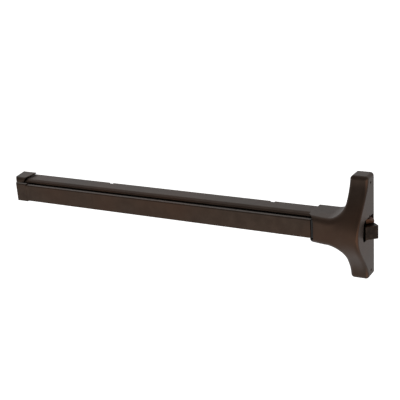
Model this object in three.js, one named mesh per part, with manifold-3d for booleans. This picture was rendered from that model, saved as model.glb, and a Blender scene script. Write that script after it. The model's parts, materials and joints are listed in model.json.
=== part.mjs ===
// Panic exit bar: a touch-pad rail with a flared latch case at one end and an end cap at the other.
// Millimetres. +X runs along the bar towards the latch, +Y into the door, +Z up.
// The origin is on the door plane, at the middle of the latch case.
import * as THREE from "three";
import { mergeVertices } from "three/addons/utils/BufferGeometryUtils.js";
import Module from "manifold-3d";

const wasm = await Module();
wasm.setup();

// ---------------------------------------------------------------- driving dimensions

const GAP = 0.3; // between pieces that touch on the real bar
const THROUGH = 1; // how far a cutting body runs past the face it opens
const LONG = 40; // half the length of a cutting rod that runs right through a piece

// latch case cover
const CASE_WIDTH = 35; // across the two arms
const CASE_HEIGHT = 203; // over the tips of the arms
const ARM_DEPTH = 35; // projection of an arm's tip
const CROWN_RISE = 18; // how much further the cover projects on the latch side, at mid height
const NECK_STEP = 7; // how far the neck's front stands proud of the pad's
const NECK_MARGIN = 4; // from the rail's top to the neck's
const NECK_LENGTH = 73; // from the side of the arms to the mouth
const FLARE_RADIUS = 33; // between the neck and the arms, seen from the front
const ARM_CORNER = 6.5; // corners of the arms, seen from the front
const ARM_EDGE = 8; // rounding of the front edges of the arms
const NECK_EDGE = 13; // rounding of the neck's front top and bottom edges
const MOUTH_FLAT = 52; // the mouth is square to the rail as far out as this
const MOUTH_SLANT = 15; // how far its front lip then leans back towards the latch
const COVER_WALL = 2.3;

// window that the latch swings through
const WINDOW_FRONT = 62;
const WINDOW_LEAN = 6; // how far its front edge leans back towards the top
const WINDOW_BACK = 4;
const WINDOW_MARGIN = 3; // over the deadlatch
const WINDOW_SILL = 1; // under the latch
const WINDOW_NOTCH = 3;

// cover screws, through the latch side of the arms
const COVER_SCREW_INSET = 14.5; // from the arms' tips
const COVER_SCREW_Y = 17;
const COVER_SCREW_RADIUS = 2.2;
const COVER_SCREW_LENGTH = 13;

// chassis, bent from plate
const PLATE = 3;
const SHELF = 2.5;
const SHELF_DEPTH = 42;
const TONGUE_LENGTH = 45; // the stretch of the tongue that lies inside the rail
const TONGUE_MARGIN = 3.3; // between the tongue's edges and the rail's walls
const DOOR_HOLE_RADIUS = 3.2;
const DOOR_HOLE_Z = 52; // first pair of screw holes, from mid height
const DOOR_HOLE_STEP = 22; // to the second pair

// latch
const BOLT_TOP = 9.5;
const BOLT_BOTTOM = 16;
const BOLT_THROW = 18; // out of the side of the case
const BOLT_NOSE_Y = 31; // depth of the nose's tip in front of the door
const BOLT_FRONT_Y = 46; // depth where the sloping front meets the case
const BOLT_BACK_Y = 18.5;
const BOLT_PIVOT_Y = 20;
const BOLT_SWING = 52; // degrees, fully drawn in
const LATCH_PIN_RADIUS = 3.5;
const DEADLATCH_TOP = 19.6;
const DEADLATCH_THROW = 8;
const KERF = 4.4; // slot in the latch bolt for the drive bar
const TAIL_PIN_RADIUS = 1.8;
const TAIL_PIN_HALF = 7.6;
const PIVOT_SPRING_WIRE = 1; // diameter
const PIVOT_SPRING_PLAY = 0.6; // round the pin, inside the coil
const PIVOT_SPRING_BORE = 0.4; // round the coil, in the latch and the deadlatch
const LATCH_SPRING_ROOM = 7; // depth of the bore for the coil
const DEADLATCH_SPRING_ROOM = 5;

// rail
const RAIL_HEIGHT = 45;
const RAIL_DEPTH = 43;
const RAIL_ROUND = 9; // depth of the rail's rounded front edges
const RAIL_DROP = 3; // how far they fall away
const RAIL_SLOT = 30; // slot that the pad carrier slides in
const RAIL_WALL = 2.2;
const RAIL_LENGTH = 770;
const RAIL_INSIDE = 50.5; // stretch of the rail inside the cover's neck
const RAIL_NOTCH_WIDTH = 9.5;
const RAIL_NOTCH_DEPTH = 6;

// push pad
const PAD_HEIGHT = 37;
const PAD_FLANGE = 9; // depth of the pad's top and bottom edges
const PAD_WALL = 2;
const PAD_EDGE = 2.6;
const PAD_INSIDE = 7; // stretch of the pad inside the mouth
const PAD_TRAVEL = 12;
const PAD_STOP = 2; // left between the pressed pad and the rail
const CARRIER_PLAY = 1.5; // between the carrier and the edges of the rail's slot
const PLUG_THICKNESS = 3;
const PLUG_LIP = 4; // how far the plug at the latch end shows past the pad
const PLUG_SETBACK = 2; // of this lip's front behind the pad's

// end cap and its bracket
const CAP_LENGTH = 37.5;
const CAP_OVERLAP = 20; // stretch of the rail inside the cap's collar
const CAP_MARGIN = 4.1; // from the rail's top to the collar's
const CAP_LIP = 3; // from the rail's front to the collar's
const CAP_FACE = 20.7; // how far the cap's front face runs on past the collar
const CAP_FACE_MARGIN = 2; // from the pad's top to the face's
const CAP_WALL = 2.4;
const CAP_DRAFT = 9; // how far the outer end leans in over its flat side
const CAP_NOSE = 31.5; // how far the outer end is cut back at the front
const CAP_EDGE = 3;
const CAP_SCREW_Z = 12;
const CAP_SCREW_Y = 15;
const CAP_SCREW_RADIUS = 2;
const FOOT_LENGTH = 8;
const UPRIGHT_DEPTH = 24;

// linkage: two bell cranks, a drive bar and the latch
const STATION_NEAR = 106; // first crank, from the latch end of the pad
const STATION_FAR = 191; // second crank, from the far end of the pad
const CRANK_PIVOT_Y = 14;
const CRANK_INPUT = 24; // arm that the pad pushes
const CRANK_OUTPUT = 16; // arm that pulls the drive bar
const CRANK_ARM_WIDTH = 9;
const CRANK_THICKNESS = 3;
const CRANK_PIN_RADIUS = 2.5;
const LINK_PIN_RADIUS = 2;
const EAR_GAP = 14; // between the bracket's two ears
const EAR_THICKNESS = 2;
const BAR_WIDTH = 11;
const BAR_THICKNESS = 3;
const BAR_END = 3; // of the drive bar, past its slot
const SPRING_RADIUS = 3.5;
const SPRING_WIRE = 1.1;
const SPRING_TURNS = 7;
const SPRING_OFFSET = 30; // from the crank's pivot, towards the latch
const SPRING_POST_RADIUS = 2.3;
const BRACKET_HALF = 17; // half the length of a crank bracket's base
const BRACKET_SCREW_Z = 13;
const SCREW_RADIUS = 1.9;
const SCREW_HEAD_RADIUS = 3.6;
const SCREW_HEAD = 2.2;

// ---------------------------------------------------------------- sizes that follow

const half = CASE_WIDTH / 2;
const halfHeight = CASE_HEIGHT / 2;
const railHalf = RAIL_HEIGHT / 2;
const neckHalf = railHalf + NECK_MARGIN;
const mouthX = -half - NECK_LENGTH;
const lipX = mouthX + MOUTH_SLANT;
const flareX = -half - FLARE_RADIUS;
const flareZ = neckHalf + FLARE_RADIUS;
const railStart = mouthX + RAIL_INSIDE;
const railEnd = railStart - RAIL_LENGTH;
const railFlat = RAIL_DEPTH - RAIL_ROUND;
const capInner = railEnd + CAP_OVERLAP;
const capFaceEnd = capInner + CAP_FACE;
const capHalf = railHalf + CAP_MARGIN;
const capDepth = RAIL_DEPTH + CAP_LIP;
const capFlat = capDepth - 8; // the outer end is straight this far
const padStart = mouthX + PAD_INSIDE;
const padEnd = capFaceEnd + GAP;
const padHalf = PAD_HEIGHT / 2;
const padBack = RAIL_DEPTH + PAD_STOP + PAD_TRAVEL;
const padFront = padBack + PAD_FLANGE;
const neckDepth = padFront + NECK_STEP;
const coverScrewZ = halfHeight - COVER_SCREW_INSET;
const tongueHalf = railHalf - RAIL_WALL - TONGUE_MARGIN;
const tongueScrewZ = tongueHalf - 6;
const carrierHalf = RAIL_SLOT / 2 - CARRIER_PLAY;
const stations = { latch: padStart - STATION_NEAR, far: padEnd + STATION_FAR };
const capOuter = capInner - CAP_LENGTH;
const crankSwing = PAD_TRAVEL / CRANK_INPUT; // radians
const barTravel = CRANK_OUTPUT * crankSwing;
const barY = -CRANK_PIVOT_Y - CRANK_OUTPUT * Math.cos(crankSwing / 2);
const swing = THREE.MathUtils.degToRad(BOLT_SWING);
const tailRadius = barTravel / (2 * Math.sin(swing / 2));
const tailX = tailRadius * Math.sin(swing / 2);
const tailY = -BOLT_PIVOT_Y - tailRadius * Math.cos(swing / 2);
const barNear = tailX + TAIL_PIN_RADIUS + GAP + BAR_END;
const barEdge = -BOLT_PIVOT_Y - LATCH_PIN_RADIUS - 2 * GAP; // the bar passes in front of the latch pin
const barReach = Math.hypot(barNear, barY - BAR_WIDTH / 2 + BOLT_PIVOT_Y);
const pivotCoil = LATCH_PIN_RADIUS + PIVOT_SPRING_PLAY + PIVOT_SPRING_WIRE / 2;
const pivotBore = pivotCoil + PIVOT_SPRING_WIRE / 2 + PIVOT_SPRING_BORE;

// ---------------------------------------------------------------- materials

const finishes = {
  bronze: { color: "#3d302a", metalness: 0.55, roughness: 0.42 },
  black: { color: "#17120f", metalness: 0.0, roughness: 0.6 },
  steel: { color: "#8d9093", metalness: 1.0, roughness: 0.4 },
  latch: { color: "#4a3a30", metalness: 0.7, roughness: 0.4 },
  copper: { color: "#8a5a3c", metalness: 0.9, roughness: 0.35 },
  spring: { color: "#a5a8ab", metalness: 1.0, roughness: 0.3 },
};
const materials = {};
for (const [name, finish] of Object.entries(finishes)) {
  materials[name] = new THREE.MeshStandardMaterial({ name, ...finish });
}

// ---------------------------------------------------------------- solids

// A geometry as a manifold solid, so that it can be cut or joined.
function solid(geometry) {
  const bare = geometry.clone();
  bare.deleteAttribute("normal");
  bare.deleteAttribute("uv");
  const merged = mergeVertices(bare, 1e-4);
  return new wasm.Manifold(
    new wasm.Mesh({
      numProp: 3,
      vertProperties: merged.attributes.position.array,
      triVerts: new Uint32Array(merged.index.array),
    }),
  );
}

// A manifold solid as a named mesh.
function piece(name, body, finish) {
  const made = body.getMesh();
  const flat = new THREE.BufferGeometry();
  flat.setAttribute("position", new THREE.BufferAttribute(made.vertProperties, 3));
  flat.setIndex(new THREE.BufferAttribute(made.triVerts, 1));
  const geometry = flat.toNonIndexed();
  geometry.computeVertexNormals();
  const mesh = new THREE.Mesh(geometry, materials[finish]);
  mesh.name = name;
  return mesh;
}

// A block between two values on each axis.
function block([x0, x1], [y0, y1], [z0, z1]) {
  const g = new THREE.BoxGeometry(Math.abs(x1 - x0), Math.abs(y1 - y0), Math.abs(z1 - z0));
  return solid(g.translate((x0 + x1) / 2, (y0 + y1) / 2, (z0 + z1) / 2));
}

// A round bar along an axis through (a, b), the other two coordinates in X, Y, Z order.
function rod(axis, [a, b], [from, to], radius, sides = 18) {
  const g = new THREE.CylinderGeometry(radius, radius, Math.abs(to - from), sides);
  const middle = (from + to) / 2;
  if (axis === "x") g.rotateZ(Math.PI / 2).translate(middle, a, b);
  if (axis === "y") g.translate(a, middle, b);
  if (axis === "z") g.rotateX(Math.PI / 2).translate(a, b, middle);
  return solid(g);
}

// An outline of corners [a, b, radius], each rounded by an arc of its own radius.
function rounded(corners, steps = 4) {
  const points = [];
  corners.forEach(([a, b, radius = 0], i) => {
    const corner = new THREE.Vector2(a, b);
    if (!radius) {
      points.push(corner);
      return;
    }
    const before = corners.at(i - 1);
    const after = corners[(i + 1) % corners.length];
    const back = new THREE.Vector2(before[0] - a, before[1] - b).normalize();
    const on = new THREE.Vector2(after[0] - a, after[1] - b).normalize();
    const halfAngle = Math.acos(THREE.MathUtils.clamp(back.dot(on), -1, 1)) / 2;
    const reach = radius / Math.tan(halfAngle);
    const middle = back.clone().add(on).setLength(radius / Math.sin(halfAngle)).add(corner);
    const start = corner.clone().addScaledVector(back, reach).sub(middle);
    const turn = (Math.PI - 2 * halfAngle) * Math.sign(on.cross(back));
    for (let k = 0; k <= steps; k++) {
      const spoke = start.clone().rotateAround(new THREE.Vector2(), (turn * k) / steps);
      points.push(spoke.add(middle));
    }
  });
  return points;
}

// A prism of an outline: in XY along Z, in YZ along X, or in XZ along Y.
function prism(plane, outline, [from, to]) {
  const shape = new THREE.Shape(outline);
  const g = new THREE.ExtrudeGeometry(shape, { depth: to - from, bevelEnabled: false });
  const x = new THREE.Vector3(1, 0, 0);
  const y = new THREE.Vector3(0, 1, 0);
  const z = new THREE.Vector3(0, 0, 1);
  const turned = new THREE.Matrix4();
  if (plane === "yz") turned.makeBasis(y, z, x).setPosition(from, 0, 0);
  if (plane === "xy") turned.makeBasis(x, y, z).setPosition(0, 0, from);
  if (plane === "xz") turned.makeBasis(x, z, y.negate()).setPosition(0, to, 0);
  return solid(g.applyMatrix4(turned));
}

// A coil of round wire about the local Z axis, from z = 0 up to its height.
function coil(radius, wire, turns, height, sides = 6) {
  class Helix extends THREE.Curve {
    getPoint(t) {
      const angle = 2 * Math.PI * turns * t;
      const rise = wire + (height - 2 * wire) * t;
      return new THREE.Vector3(radius * Math.cos(angle), radius * Math.sin(angle), rise);
    }
  }
  const section = new THREE.Shape(new THREE.EllipseCurve(0, 0, wire, wire).getPoints(sides));
  const steps = Math.round(turns * 10);
  return new THREE.ExtrudeGeometry(section, { steps, extrudePath: new Helix() });
}

// ---------------------------------------------------------------- latch case cover

// How much a rounded edge of radius r has fallen away at distance s inside the edge.
function edgeDrop(s, r) {
  if (s >= r) return 0;
  return r - Math.sqrt(Math.max(0, r * r - (r - s) ** 2));
}

// Projection of the cover's front before its edges are rounded: the neck slopes out towards
// the latch, and the arms fall away from it in a half wave of a cosine.
function frontDepth(x, z) {
  const along = (x - lipX) / (half - ARM_EDGE - lipX);
  const neck = neckDepth + CROWN_RISE * along;
  const wave = (1 + Math.cos((Math.PI * z) / halfHeight)) / 2;
  const arm = THREE.MathUtils.smoothstep(x, -half - 1.3 * FLARE_RADIUS, -half);
  return ARM_DEPTH + (neck - ARM_DEPTH) * (1 - arm * (1 - wave));
}

// Projection of the cover at (x, z), set in by a wall all round.
function coverDepth(x, z, inset) {
  const up = Math.abs(z);
  const dx = x - flareX;
  const dz = flareZ - up;
  let side = x + half;
  let edge = ARM_EDGE;
  if (dx < 0) {
    side = neckHalf - up;
    edge = NECK_EDGE;
  } else if (dz > 0) {
    side = Math.hypot(dx, dz) - FLARE_RADIUS;
    edge = NECK_EDGE + (ARM_EDGE - NECK_EDGE) * (Math.atan2(dx, dz) / (Math.PI / 2));
  }
  const drops = [
    edgeDrop(side - inset, edge - inset),
    edgeDrop(half - x - inset, ARM_EDGE - inset),
    edgeDrop(halfHeight - up - inset, ARM_EDGE - inset),
  ];
  const tipX = Math.abs(x) - half + ARM_CORNER;
  const tipZ = up - halfHeight + ARM_CORNER;
  if (tipX > 0 && tipZ > 0) {
    drops.push(edgeDrop(ARM_CORNER - Math.hypot(tipX, tipZ) - inset, ARM_EDGE - inset));
  }
  return frontDepth(x, z) - inset - Math.max(...drops);
}

// Values from a to b, closer together at the end named by "dense".
function spread(a, b, count, dense = "none") {
  return Array.from({ length: count }, (_, i) => {
    const t = i / count;
    let eased = t;
    if (dense === "start") eased = 1 - Math.cos((t * Math.PI) / 2);
    if (dense === "end") eased = Math.sin((t * Math.PI) / 2);
    return a + (b - a) * eased;
  });
}

// A closed body between the plane y = back and a front given by depth(x, z), one ring per z.
function reliefBody(levels, columns, depth, back) {
  const rings = levels.map((z) => {
    const xs = columns(z);
    const front = xs.map((x) => new THREE.Vector3(x, -depth(x, z), z));
    return [new THREE.Vector3(xs[0], back, z), ...front, new THREE.Vector3(xs.at(-1), back, z)];
  });
  const count = rings[0].length;
  const points = rings.flat();
  const index = [];
  for (let i = 0; i + 1 < rings.length; i++) {
    for (let j = 0; j < count; j++) {
      const a = i * count + j;
      const b = i * count + ((j + 1) % count);
      index.push(a, b, b + count, a, b + count, a + count);
    }
  }
  const caps = [0, rings.length - 1];
  for (const ring of caps) {
    const outline = rings[ring].map((p) => new THREE.Vector2(p.x, p.y));
    for (const face of THREE.ShapeUtils.triangulateShape(outline, [])) {
      const [a, b, c] = face.map((k) => ring * count + k);
      index.push(...(ring ? [a, b, c] : [a, c, b]));
    }
  }
  const g = new THREE.BufferGeometry().setFromPoints(points);
  g.setIndex(index);
  return solid(g);
}

// The cover's outer body, or with an inset the room inside it.
function coverBody(inset) {
  const back = inset ? THROUGH : 0;
  const neckTop = neckHalf - inset;
  const top = halfHeight - inset;
  const corner = ARM_CORNER - inset;
  const flare = FLARE_RADIUS + inset;
  const upper = [
    ...spread(0, neckTop - NECK_EDGE + inset, 2),
    ...spread(neckTop - NECK_EDGE + inset, neckTop, 4, "end"),
  ];
  const outer = [
    ...spread(neckTop, flareZ, 8, "start"),
    ...spread(flareZ, top - ARM_EDGE, 3),
    ...spread(top - ARM_EDGE, top, 5, "end"),
    top,
  ];
  const mirror = (list) => [...list.slice(1).reverse().map((z) => -z), ...list];
  const depth = (x, z) => coverDepth(x, z, inset);

  const cornerSet = (z) => {
    const over = Math.abs(z) - (top - corner);
    return over > 0 ? corner - Math.sqrt(Math.max(0, corner * corner - over * over)) : 0;
  };
  const armColumns = (z) => {
    const dz = flareZ - Math.abs(z);
    let left = -half + inset + cornerSet(z);
    if (dz > 0) left = flareX + Math.sqrt(Math.max(0, flare * flare - dz * dz));
    if (Math.abs(z) <= neckTop) left = flareX;
    const right = half - inset - cornerSet(z);
    const edge = Math.min(ARM_EDGE - inset, (right - left) / 3);
    return [
      ...spread(left, left + edge, 4, "start"),
      ...spread(left + edge, right - edge, 5),
      ...spread(right - edge, right, 4, "end"),
      right,
    ];
  };
  const arms = reliefBody(mirror([...upper, ...outer]), armColumns, depth, back);

  const mouth = inset ? mouthX - THROUGH : mouthX;
  const neckColumns = () => [
    ...spread(mouth, lipX, 2),
    ...spread(lipX, flareX, 4),
    flareX,
  ];
  const neck = reliefBody(mirror([...upper, neckTop]), neckColumns, depth, back);
  return arms.add(neck);
}

// What is cut from the neck so that its mouth leans back in front.
function mouthCut() {
  const outline = [
    [mouthX - THROUGH, -MOUTH_FLAT],
    [mouthX - THROUGH, -neckDepth - THROUGH],
    [lipX, -neckDepth - THROUGH],
    [lipX, -neckDepth],
    [mouthX, -MOUTH_FLAT],
  ];
  const points = outline.map(([x, y]) => new THREE.Vector2(x, y));
  return prism("xy", points, [-neckHalf - THROUGH, neckHalf + THROUGH]);
}

function latchWindow() {
  const top = DEADLATCH_TOP + WINDOW_MARGIN;
  const bottom = -BOLT_BOTTOM - WINDOW_SILL;
  const notchY = -(BOLT_BACK_Y + 5);
  const outline = rounded([
    [-WINDOW_BACK, bottom, 3],
    [-WINDOW_BACK, top, 5],
    [notchY + WINDOW_NOTCH, top],
    [notchY, top + WINDOW_NOTCH],
    [notchY - WINDOW_NOTCH, top],
    [-WINDOW_FRONT + WINDOW_LEAN, top, 10],
    [-WINDOW_FRONT, bottom, 8],
  ]);
  return prism("yz", outline.reverse(), [half - COVER_WALL - THROUGH, half + THROUGH]);
}

function caseCover() {
  let cover = coverBody(0).subtract(coverBody(COVER_WALL));
  cover = cover.subtract(mouthCut()).subtract(latchWindow());
  for (const z of [-coverScrewZ, coverScrewZ]) {
    const span = [half - COVER_WALL - THROUGH, half + THROUGH];
    cover = cover.subtract(rod("x", [-COVER_SCREW_Y, z], span, COVER_SCREW_RADIUS + GAP));
  }
  return piece("case_cover", cover, "bronze");
}

// ---------------------------------------------------------------- chassis and cover screws

const chassisHalf = half - COVER_WALL - GAP;

function chassis() {
  const tall = halfHeight - COVER_WALL - 1.5;
  const corners = [
    [-chassisHalf, -tall, ARM_CORNER],
    [chassisHalf, -tall, ARM_CORNER],
    [chassisHalf, tall, ARM_CORNER],
    [-chassisHalf, tall, ARM_CORNER],
  ];
  let body = prism("xz", rounded(corners), [-PLATE, 0]);
  const shelves = [
    [-BOLT_BOTTOM - GAP - SHELF, -BOLT_BOTTOM - GAP],
    [DEADLATCH_TOP + GAP, DEADLATCH_TOP + GAP + SHELF],
  ];
  const shelfRoom = [-chassisHalf, half - COVER_WALL - 1.5];
  for (const levels of shelves) {
    body = body.add(block(shelfRoom, [-SHELF_DEPTH, -PLATE / 2], levels));
  }
  for (const z of [-coverScrewZ, coverScrewZ]) {
    const lug = block([0, chassisHalf], [-COVER_SCREW_Y - 6, -PLATE / 2], [z - 6, z + 6]);
    body = body.add(lug);
    const bore = rod("x", [-COVER_SCREW_Y, z], [-THROUGH, half], COVER_SCREW_RADIUS + GAP);
    body = body.subtract(bore);
  }
  const railSeat = RAIL_WALL + GAP;
  const joggle = railStart + GAP; // where the tongue steps forward to clear the rail's web
  body = body.add(block([joggle, -chassisHalf + 1], [-railSeat - PLATE, 0], [-tongueHalf, tongueHalf]));
  const tongue = [railStart - TONGUE_LENGTH, joggle + 1];
  body = body.add(block(tongue, [-railSeat - PLATE, -railSeat], [-tongueHalf, tongueHalf]));
  for (const side of [-1, 1]) {
    for (const z of [DOOR_HOLE_Z, DOOR_HOLE_Z + DOOR_HOLE_STEP]) {
      const depth = [-PLATE - THROUGH, THROUGH];
      body = body.subtract(rod("y", [-half / 3, side * z], depth, DOOR_HOLE_RADIUS));
    }
    const screw = [railStart - TONGUE_LENGTH / 2, side * tongueScrewZ];
    const depths = [-railSeat - PLATE - THROUGH, -railSeat + THROUGH];
    body = body.subtract(rod("y", screw, depths, SCREW_RADIUS + GAP));
  }
  const pinSpan = [-BOLT_BOTTOM - 2 * SHELF, DEADLATCH_TOP + 2 * SHELF];
  body = body.subtract(rod("z", [0, -BOLT_PIVOT_Y], pinSpan, LATCH_PIN_RADIUS + GAP));
  return piece("chassis", body, "steel");
}

// A socket set screw along X, its open end flush with the cover.
function coverScrew(name, z) {
  const tip = half - 0.4;
  const shank = rod("x", [-COVER_SCREW_Y, z], [tip - COVER_SCREW_LENGTH, tip], COVER_SCREW_RADIUS);
  const socket = rod("x", [-COVER_SCREW_Y, z], [tip - 2, tip + THROUGH], COVER_SCREW_RADIUS / 2, 6);
  return piece(name, shank.subtract(socket), "steel");
}

// A pan-head screw along Y. The underside of its head is at y = seat.
function panScrew(name, x, z, seat, tip) {
  const head = rod("y", [x, z], [seat - SCREW_HEAD, seat], SCREW_HEAD_RADIUS);
  const shank = rod("y", [x, z], [seat - SCREW_HEAD / 2, tip], SCREW_RADIUS);
  const slot = block(
    [x - SCREW_HEAD_RADIUS, x + SCREW_HEAD_RADIUS],
    [seat - SCREW_HEAD - THROUGH, seat - SCREW_HEAD + 0.8],
    [z - 0.5, z + 0.5],
  );
  return piece(name, head.add(shank).subtract(slot), "steel");
}

// ---------------------------------------------------------------- latch

function latchBolt() {
  const face = half;
  const tip = face + BOLT_THROW;
  const outline = rounded([
    [-6, -BOLT_PIVOT_Y + 6, 5],
    [face - 3, -BOLT_BACK_Y + 3, 4],
    [face + 8, -BOLT_BACK_Y, 1.5],
    [tip, -BOLT_NOSE_Y + 3, 1],
    [tip, -BOLT_NOSE_Y, 1],
    [face, -BOLT_FRONT_Y, 1.5],
    [face - 9, -BOLT_FRONT_Y, 4],
    [-8, -BOLT_PIVOT_Y - 12, 5],
  ]);
  let bolt = prism("xy", outline.reverse(), [-BOLT_BOTTOM, BOLT_TOP]);
  const pivot = [0, -BOLT_PIVOT_Y];
  bolt = bolt.subtract(rod("z", pivot, [-LONG, LONG], LATCH_PIN_RADIUS + GAP));
  bolt = bolt.subtract(rod("z", pivot, [-LONG, -BOLT_BOTTOM + LATCH_SPRING_ROOM], pivotBore));
  const tailHole = [-TAIL_PIN_HALF - GAP, TAIL_PIN_HALF + GAP];
  bolt = bolt.subtract(rod("z", [tailX, tailY], tailHole, TAIL_PIN_RADIUS + GAP));
  const kerf = [-KERF / 2, KERF / 2];
  bolt = bolt.subtract(rod("z", pivot, kerf, barReach + 1, 36));
  bolt = bolt.subtract(block([-half, face - 6], [-BOLT_FRONT_Y - THROUGH, -BOLT_PIVOT_Y], kerf));
  return piece("latch_bolt", bolt, "latch");
}

function deadlatch() {
  const tip = half + DEADLATCH_THROW;
  const outline = rounded([
    [-6, -BOLT_PIVOT_Y + 6, 5],
    [tip - 2, -BOLT_BACK_Y + 4, 3],
    [tip, -BOLT_NOSE_Y + 8, 3],
    [half - 4, -BOLT_NOSE_Y - 2, 3],
    [-6, -BOLT_PIVOT_Y - 7, 5],
  ]);
  let lever = prism("xy", outline.reverse(), [BOLT_TOP + 1.2, DEADLATCH_TOP]);
  const pivot = [0, -BOLT_PIVOT_Y];
  lever = lever.subtract(rod("z", pivot, [-LONG, LONG], LATCH_PIN_RADIUS + GAP));
  lever = lever.subtract(rod("z", pivot, [DEADLATCH_TOP - DEADLATCH_SPRING_ROOM, LONG], pivotBore));
  return piece("deadlatch", lever, "copper");
}

// The headed pin that the latch bolt and the deadlatch both turn on.
function latchPin() {
  const top = DEADLATCH_TOP + 2 * GAP + SHELF;
  const bottom = -BOLT_BOTTOM - GAP - SHELF - 4;
  const pivot = [0, -BOLT_PIVOT_Y];
  const shank = rod("z", pivot, [bottom, top + 1], LATCH_PIN_RADIUS);
  const head = rod("z", pivot, [top, top + 2], LATCH_PIN_RADIUS + 2);
  return piece("latch_pin", shank.add(head), "steel");
}

function latchPinRing() {
  const top = -BOLT_BOTTOM - 2 * GAP - SHELF;
  const pivot = [0, -BOLT_PIVOT_Y];
  const outside = rod("z", pivot, [top - 1.4, top], LATCH_PIN_RADIUS + 2.6);
  const inside = rod("z", pivot, [top - 4, top + 2], LATCH_PIN_RADIUS + GAP);
  const mouth = block([0, 12], [-BOLT_PIVOT_Y - 2, -BOLT_PIVOT_Y + 2], [top - 4, top + 2]);
  return piece("latch_pin_ring", outside.subtract(inside).subtract(mouth), "steel");
}

// The cross pin in the latch bolt that the drive bar's slot pulls.
function tailPin() {
  const body = rod("z", [tailX, tailY], [-TAIL_PIN_HALF, TAIL_PIN_HALF], TAIL_PIN_RADIUS);
  return piece("latch_tail_pin", body, "steel");
}

// A torsion spring round the latch pin, with a clear gap between its turns.
function pivotSpring(name, from, height) {
  const turns = Math.floor((height - PIVOT_SPRING_WIRE) / (0.65 * PIVOT_SPRING_WIRE)) / 2;
  const body = solid(coil(pivotCoil, PIVOT_SPRING_WIRE / 2, turns, height));
  const mesh = piece(name, body, "spring");
  mesh.position.set(0, -BOLT_PIVOT_Y, from);
  return mesh;
}

// ---------------------------------------------------------------- rail

// Outline of the rail in YZ, set in by a wall. The front edges are rounded.
function railOutline(inset, front, back) {
  const top = railHalf - inset;
  const lip = railHalf - RAIL_DROP - inset;
  return rounded([
    [back, -top],
    [-railFlat, -top, 12],
    [-front, -lip, 4 - inset],
    [-front, lip, 4 - inset],
    [-railFlat, top, 12],
    [back, top],
  ]).reverse();
}

function rail() {
  const span = [railEnd, railStart];
  let body = prism("yz", railOutline(0, RAIL_DEPTH, 0), span);
  const hollow = railOutline(RAIL_WALL, RAIL_DEPTH - RAIL_WALL, -RAIL_WALL);
  body = body.subtract(prism("yz", hollow, [railEnd - THROUGH, railStart + THROUGH]));
  const slotHalf = RAIL_SLOT / 2;
  const slot = block(
    [railEnd - THROUGH, railStart + THROUGH],
    [-RAIL_DEPTH - THROUGH, -RAIL_DEPTH / 2],
    [-slotHalf, slotHalf],
  );
  body = body.subtract(slot);
  for (const x of Object.values(stations)) {
    const wide = [x - RAIL_NOTCH_WIDTH / 2, x + RAIL_NOTCH_WIDTH / 2];
    const deep = [-RAIL_NOTCH_DEPTH, THROUGH];
    body = body.subtract(block(wide, deep, [railHalf - RAIL_WALL - THROUGH, railHalf + THROUGH]));
    for (const z of [-BRACKET_SCREW_Z, BRACKET_SCREW_Z]) {
      body = body.subtract(rod("y", [x, z], [-RAIL_WALL - THROUGH, THROUGH], SCREW_RADIUS + GAP));
    }
  }
  for (const side of [-1, 1]) {
    const z = side * tongueScrewZ;
    for (const x of [railStart - TONGUE_LENGTH / 2, railEnd + TONGUE_LENGTH / 2]) {
      body = body.subtract(rod("y", [x, z], [-RAIL_WALL - THROUGH, THROUGH], SCREW_RADIUS + GAP));
    }
  }
  return piece("rail", body, "bronze");
}

// ---------------------------------------------------------------- push pad

function padOutline(inset) {
  const top = padHalf - inset;
  const front = -padFront + inset;
  const back = inset ? THROUGH : 0;
  const edge = PAD_EDGE - inset / 2;
  return rounded([
    [-padBack + back, -top],
    [front, -top, edge],
    [front, top, edge],
    [-padBack + back, top],
  ]).reverse();
}

function pushPad() {
  const span = [padEnd, padStart];
  const outer = prism("yz", padOutline(0), span);
  const inner = prism("yz", padOutline(PAD_WALL), [padEnd - THROUGH, padStart + THROUGH]);
  return piece("push_pad", outer.subtract(inner), "bronze");
}

// The black channel behind the pad, which slides in the rail's slot.
function padCarrier() {
  const setback = PLUG_THICKNESS + GAP;
  const span = [padEnd + setback, padStart - setback];
  const top = carrierHalf;
  const front = -padFront + PAD_WALL + GAP;
  const outer = block(span, [front, -railFlat], [-top, top]);
  const inner = block(
    [span[0] - THROUGH, span[1] + THROUGH],
    [front + PAD_WALL, -railFlat + THROUGH],
    [-top + PAD_WALL, top - PAD_WALL],
  );
  return piece("pad_carrier", outer.subtract(inner), "black");
}

function padPlug(name, from, to, lip = 0) {
  const seat = padHalf - PAD_WALL - GAP;
  const front = -padFront + PAD_WALL + GAP;
  const back = -padBack;
  const outline = rounded([
    [back, -seat],
    [front, -seat, 1],
    [front, seat, 1],
    [back, seat],
  ]).reverse();
  let body = prism("yz", outline, [from, to + lip / 2]);
  if (lip) {
    const depth = [-padFront + PLUG_SETBACK, back];
    body = body.add(block([to + GAP, to + lip], depth, [GAP - padHalf, padHalf - GAP]));
  }
  return piece(name, body, "black");
}

// ---------------------------------------------------------------- end cap and bracket

// Floor of the shallow recesses for the cap screws' heads, in the leaning outer end.
const capScrewSeat = capOuter + (CAP_DRAFT * CAP_SCREW_Y) / capFlat + 0.9;

// The cap in plan, set in by a wall: its outer end leans in and is cut back towards the front.
function capPlan(inset, inner, front) {
  return rounded([
    [capOuter + inset, inset ? THROUGH : 0],
    [capOuter + CAP_DRAFT + inset, -capFlat, 10],
    [capOuter + CAP_NOSE + inset, -front + inset, inset ? 0 : 2],
    [inner, -front + inset],
    [inner, inset ? THROUGH : 0],
  ]);
}

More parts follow.
